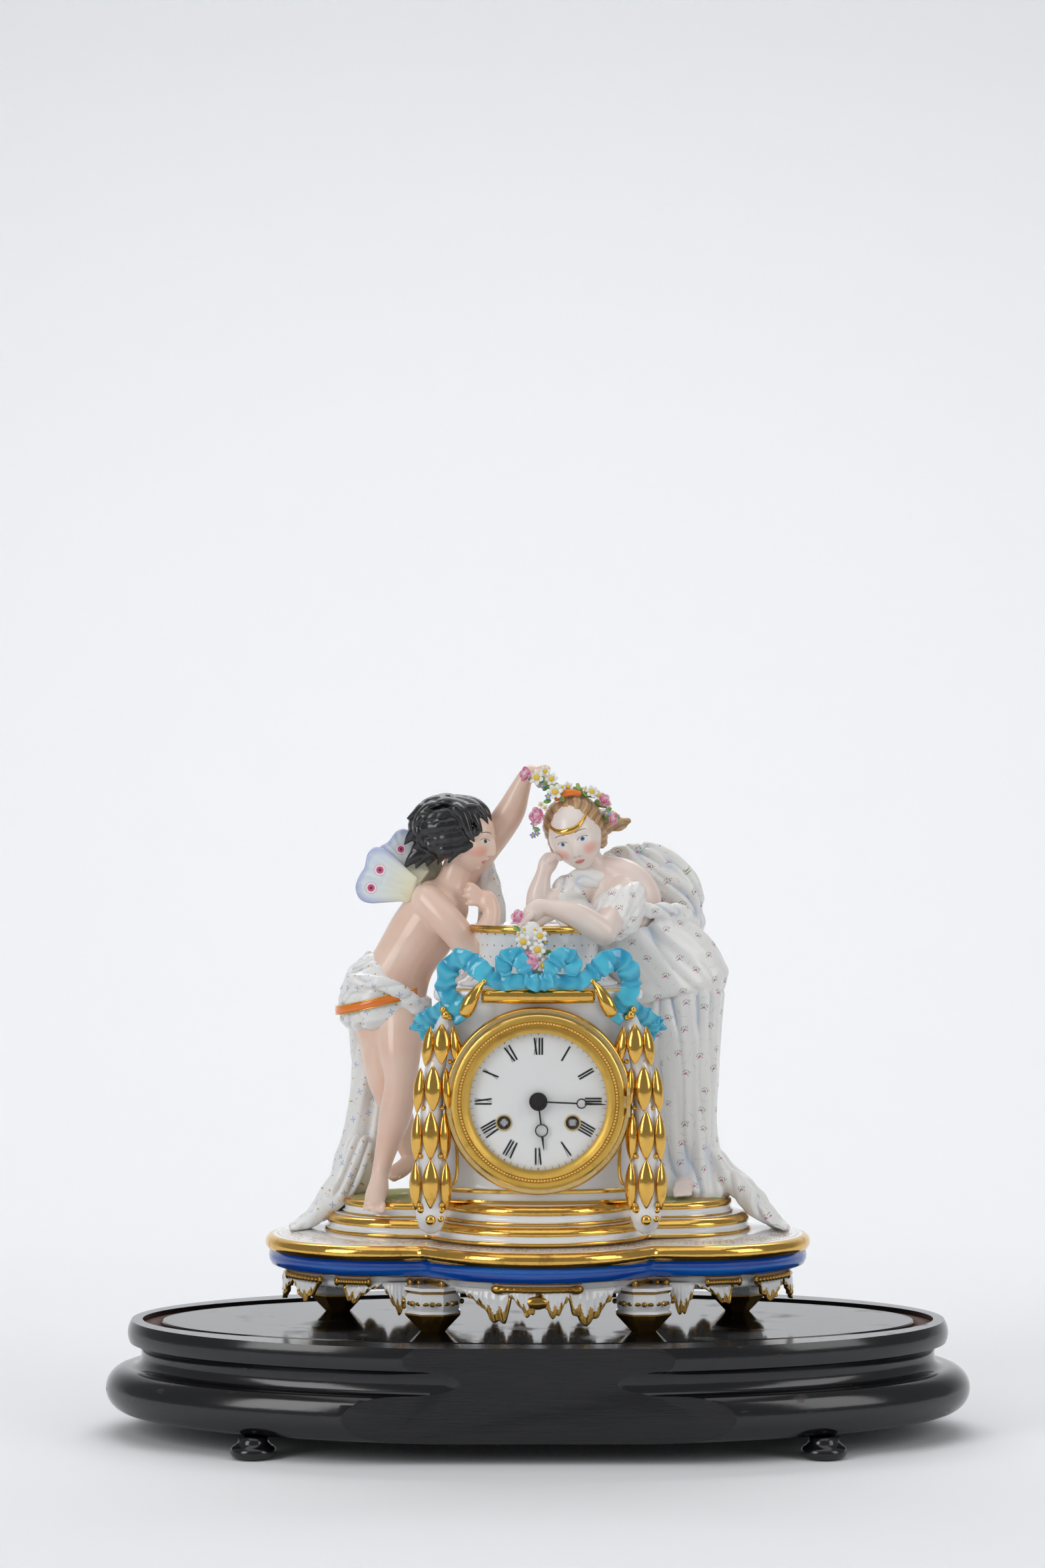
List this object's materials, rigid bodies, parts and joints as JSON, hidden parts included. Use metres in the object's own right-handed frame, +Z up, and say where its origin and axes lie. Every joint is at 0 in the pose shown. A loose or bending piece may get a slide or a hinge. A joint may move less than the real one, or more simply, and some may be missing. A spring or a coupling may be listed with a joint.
{
  "type": "figural mantel clock",
  "caption": "Porcelain mantel clock: round dial in a bow-fronted case on a lobed footed base, urn above, a winged youth and a draped lady beside it, on an oval dark wood stand.",
  "frame": {"origin": "on the surface the stand's feet rest on, under the middle of the stand", "axes": "+Z up, +X to the viewer's right along the stand's length, the dial faces -Y"},
  "size_m": [0.544, 0.266, 0.4194],
  "materials": {
    "porcelain": "gloss glaze",
    "ebonised_wood": "polished black",
    "groove_lining": "matt",
    "gilt_brass": "satin gilt",
    "bell_metal": "polished",
    "steel": "satin",
    "blackened_steel": "black",
    "enamel": "gloss enamel",
    "glass": "clear"
  },
  "bodies": {
    "clock": {"base_plinth": "porcelain", "base_feet": "porcelain", "base_apron": "porcelain", "base_steps": "porcelain", "case_body": "porcelain", "case_cornice": "porcelain", "urn": "porcelain", "left_console": "porcelain", "right_console": "porcelain", "ribbon": "porcelain", "flower_garlands": "porcelain", "youth_torso": "porcelain", "youth_head": "porcelain", "youth_arms": "porcelain", "youth_legs": "porcelain", "youth_drapery": "porcelain", "youth_wings": "porcelain", "lady_torso": "porcelain", "lady_head": "porcelain", "lady_skirt": "porcelain", "lady_arms": "porcelain", "lady_cloak": "porcelain", "stand_plinth": "ebonised_wood", "stand_board": "ebonised_wood", "stand_feet": "ebonised_wood", "dial_ring": "gilt_brass", "dial_plate": "gilt_brass", "winding_hole_rings": "gilt_brass", "front_plate": "gilt_brass", "back_plate": "gilt_brass", "plate_pillars": "gilt_brass", "suspension_cock": "gilt_brass", "movement_straps": "gilt_brass", "back_ring": "gilt_brass", "bell_stand": "steel", "strap_screws": "steel", "dome_groove_lining": "groove_lining", "dial": "enamel", "bell": "bell_metal"},
    "bezel_door": {"bezel": "gilt_brass", "bezel_glass": "glass"},
    "minute_hand_group": {"minute_hand": "blackened_steel", "cannon_pinion": "gilt_brass"},
    "hour_hand_group": {"hour_hand": "blackened_steel", "hour_wheel": "gilt_brass"},
    "minute_wheel_group": {"minute_wheel": "gilt_brass"},
    "centre_group": {"centre_wheel": "gilt_brass"},
    "intermediate_group": {"intermediate_wheel": "gilt_brass"},
    "third_group": {"third_wheel": "gilt_brass"},
    "escape_group": {"escape_wheel": "gilt_brass"},
    "going_barrel_group": {"going_barrel": "gilt_brass"},
    "strike_barrel_group": {"strike_barrel": "gilt_brass"},
    "pin_wheel_group": {"pin_wheel": "gilt_brass"},
    "fly_group": {"fly": "gilt_brass"},
    "pallet_group": {"anchor": "steel"},
    "pendulum_group": {"pendulum": "gilt_brass"},
    "hammer_group": {"hammer": "steel"},
    "going_winder": {"going_arbor": "steel"},
    "strike_winder": {"strike_arbor": "steel"},
    "back_door": {"back_cover": "gilt_brass"}
  },
  "joints": [
    {"name": "bezel_hinge", "type": "hinge", "parent": "clock", "child": "bezel_door", "pos_m": [0.05525, -0.07, 0.2115], "axis": [0, 0, 1], "range_deg": [0, 95]},
    {"name": "back_cover_hinge", "type": "hinge", "parent": "clock", "child": "back_door", "pos_m": [0.052, 0.04905, 0.2115], "axis": [0, 0, -1], "range_deg": [0, 110]},
    {"name": "minute_hand_turn", "type": "hinge", "parent": "clock", "child": "minute_hand_group", "pos_m": [0, -0.0632, 0.2115], "axis": [0, 1, 0], "continuous": true},
    {"name": "hour_hand_turn", "type": "hinge", "parent": "clock", "child": "hour_hand_group", "pos_m": [0, -0.0632, 0.2115], "axis": [0, 1, 0], "continuous": true},
    {"name": "minute_wheel_turn", "type": "hinge", "parent": "clock", "child": "minute_wheel_group", "pos_m": [-0.00406, -0.055, 0.2202], "axis": [0, 1, 0], "continuous": true},
    {"name": "third_wheel_turn", "type": "hinge", "parent": "clock", "child": "third_group", "pos_m": [-0.00608, 0, 0.22455], "axis": [0, 1, 0], "continuous": true},
    {"name": "centre_wheel_turn", "type": "hinge", "parent": "clock", "child": "centre_group", "pos_m": [0, 0, 0.2115], "axis": [0, 1, 0], "continuous": true},
    {"name": "intermediate_wheel_turn", "type": "hinge", "parent": "clock", "child": "intermediate_group", "pos_m": [0.013, 0, 0.21768], "axis": [0, 1, 0], "continuous": true},
    {"name": "going_barrel_turn", "type": "hinge", "parent": "clock", "child": "going_barrel_group", "pos_m": [0.0211, 0, 0.1983], "axis": [0, 1, 0], "continuous": true},
    {"name": "escape_wheel_turn", "type": "hinge", "parent": "clock", "child": "escape_group", "pos_m": [0, 0, 0.23478], "axis": [0, 1, 0], "continuous": true},
    {"name": "pendulum_swing", "type": "hinge", "parent": "clock", "child": "pendulum_group", "pos_m": [0, -0.0005, 0.24805], "axis": [0, 1, 0], "range_deg": [-4, 4]},
    {"name": "pallet_rock", "type": "hinge", "parent": "clock", "child": "pallet_group", "pos_m": [0, 0, 0.24805], "axis": [0, 1, 0], "range_deg": [-4, 4]},
    {"name": "strike_barrel_turn", "type": "hinge", "parent": "clock", "child": "strike_barrel_group", "pos_m": [-0.0211, 0, 0.1983], "axis": [0, 1, 0], "continuous": true},
    {"name": "pin_wheel_turn", "type": "hinge", "parent": "clock", "child": "pin_wheel_group", "pos_m": [-0.0031, 0, 0.18748], "axis": [0, 1, 0], "continuous": true},
    {"name": "fly_turn", "type": "hinge", "parent": "clock", "child": "fly_group", "pos_m": [0.0089, 0, 0.18027], "axis": [0, 1, 0], "continuous": true},
    {"name": "hammer_swing", "type": "hinge", "parent": "clock", "child": "hammer_group", "pos_m": [-0.03426, 0, 0.22748], "axis": [0, -1, 0], "range_deg": [0, 14], "stiffness_Nm_per_rad": 0.02},
    {"name": "going_winding", "type": "hinge", "parent": "clock", "child": "going_winder", "pos_m": [0.0211, 0, 0.1983], "axis": [0, 1, 0], "range_deg": [0, 2520]},
    {"name": "strike_winding", "type": "hinge", "parent": "clock", "child": "strike_winder", "pos_m": [-0.0211, 0, 0.1983], "axis": [0, 1, 0], "range_deg": [0, 2520]}
  ],
  "couplings": [
    {"joint": "minute_wheel_turn", "follows": "minute_hand_turn", "ratio": -0.33333},
    {"joint": "hour_hand_turn", "follows": "minute_hand_turn", "ratio": 0.083333},
    {"joint": "centre_wheel_turn", "follows": "third_wheel_turn", "ratio": -0.125},
    {"joint": "intermediate_wheel_turn", "follows": "third_wheel_turn", "ratio": 0.025},
    {"joint": "going_barrel_turn", "follows": "third_wheel_turn", "ratio": -0.005},
    {"joint": "escape_wheel_turn", "follows": "third_wheel_turn", "ratio": -7.5},
    {"joint": "pallet_rock", "follows": "pendulum_swing", "ratio": 1},
    {"joint": "pin_wheel_turn", "follows": "strike_barrel_turn", "ratio": -5},
    {"joint": "fly_turn", "follows": "strike_barrel_turn", "ratio": 30}
  ]
}
